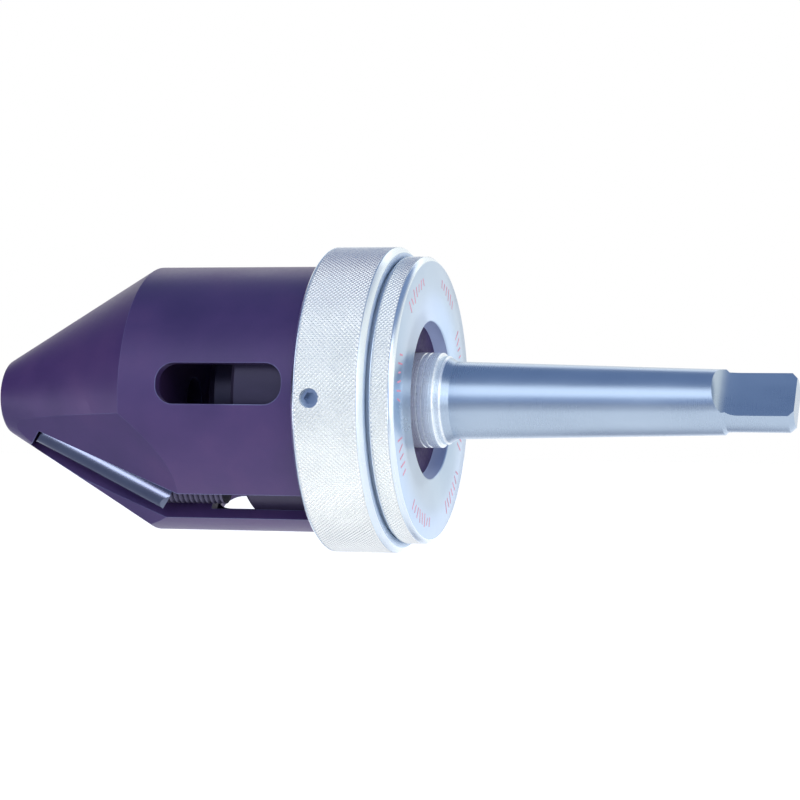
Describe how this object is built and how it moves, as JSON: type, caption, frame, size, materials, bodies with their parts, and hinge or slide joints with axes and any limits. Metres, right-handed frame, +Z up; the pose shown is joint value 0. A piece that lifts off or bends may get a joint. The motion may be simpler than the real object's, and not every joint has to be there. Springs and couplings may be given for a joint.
{
  "type": "live center",
  "caption": "Live center with a Morse taper shank and tang, knurled head on ball bearings, and a blunt cone nose with windows and an inset bar.",
  "frame": {"origin": "on the axis of rotation, at the gauge plane of the Morse taper", "axes": "+X along the axis from the nose towards the tang; +Z up; the side with one window faces -Y"},
  "size_m": [0.1893, 0.071, 0.071],
  "materials": {
    "ground_steel": "cylindrically ground, oiled",
    "satin_chrome": "satin, diamond knurled",
    "black_oxide": "black oxide with a violet sheen",
    "polished_bar": "polished, dark",
    "bearing_steel": "lapped",
    "ball_steel": "mirror polished",
    "cage_brass": "machined",
    "housing_steel": "turned, dark",
    "seal_rubber": "moulded",
    "seal_steel": "pressed",
    "spring_steel": "drawn",
    "hardware_steel": "black oxide",
    "screw_steel": "rolled thread",
    "gasket_fibre": "fibre sheet"
  },
  "bodies": {
    "arbor": {"arbor": "ground_steel", "rear_bearing_inner_race": "bearing_steel", "front_bearing_inner_race": "bearing_steel", "inner_race_spacer": "bearing_steel", "lock_washer": "spring_steel", "bearing_locknut": "hardware_steel"},
    "head": {"bearing_housing": "housing_steel", "rear_cover": "satin_chrome", "cover_o_ring": "seal_rubber", "shaft_seal_case": "seal_steel", "shaft_seal_lip": "seal_rubber", "seal_garter_spring": "spring_steel", "knurled_clamp_ring": "satin_chrome", "clamp_ring_grub_screws": "spring_steel", "nose_locating_dowel": "bearing_steel", "rear_bearing_outer_race": "bearing_steel", "front_bearing_outer_race": "bearing_steel", "nose_cone": "black_oxide", "grip_bar": "polished_bar", "grip_bar_clamp_screw": "screw_steel", "front_cap": "housing_steel", "front_cap_gasket": "gasket_fibre", "front_cap_screws": "hardware_steel"},
    "rear_ball_set": {"rear_bearing_balls": "ball_steel", "rear_bearing_cage": "cage_brass"},
    "front_ball_set": {"front_bearing_balls": "ball_steel", "front_bearing_cage": "cage_brass"}
  },
  "joints": [
    {"name": "head_spin", "type": "hinge", "parent": "arbor", "child": "head", "pos_m": [-0.0352, 0, 0], "axis": [1, 0, 0], "continuous": true},
    {"name": "rear_ball_spin", "type": "hinge", "parent": "arbor", "child": "rear_ball_set", "pos_m": [-0.0275, 0, 0], "axis": [1, 0, 0], "continuous": true},
    {"name": "front_ball_spin", "type": "hinge", "parent": "arbor", "child": "front_ball_set", "pos_m": [-0.0429, 0, 0], "axis": [1, 0, 0], "continuous": true}
  ],
  "couplings": [
    {"joint": "rear_ball_spin", "follows": "head_spin", "ratio": 0.6185},
    {"joint": "front_ball_spin", "follows": "head_spin", "ratio": 0.6184}
  ]
}
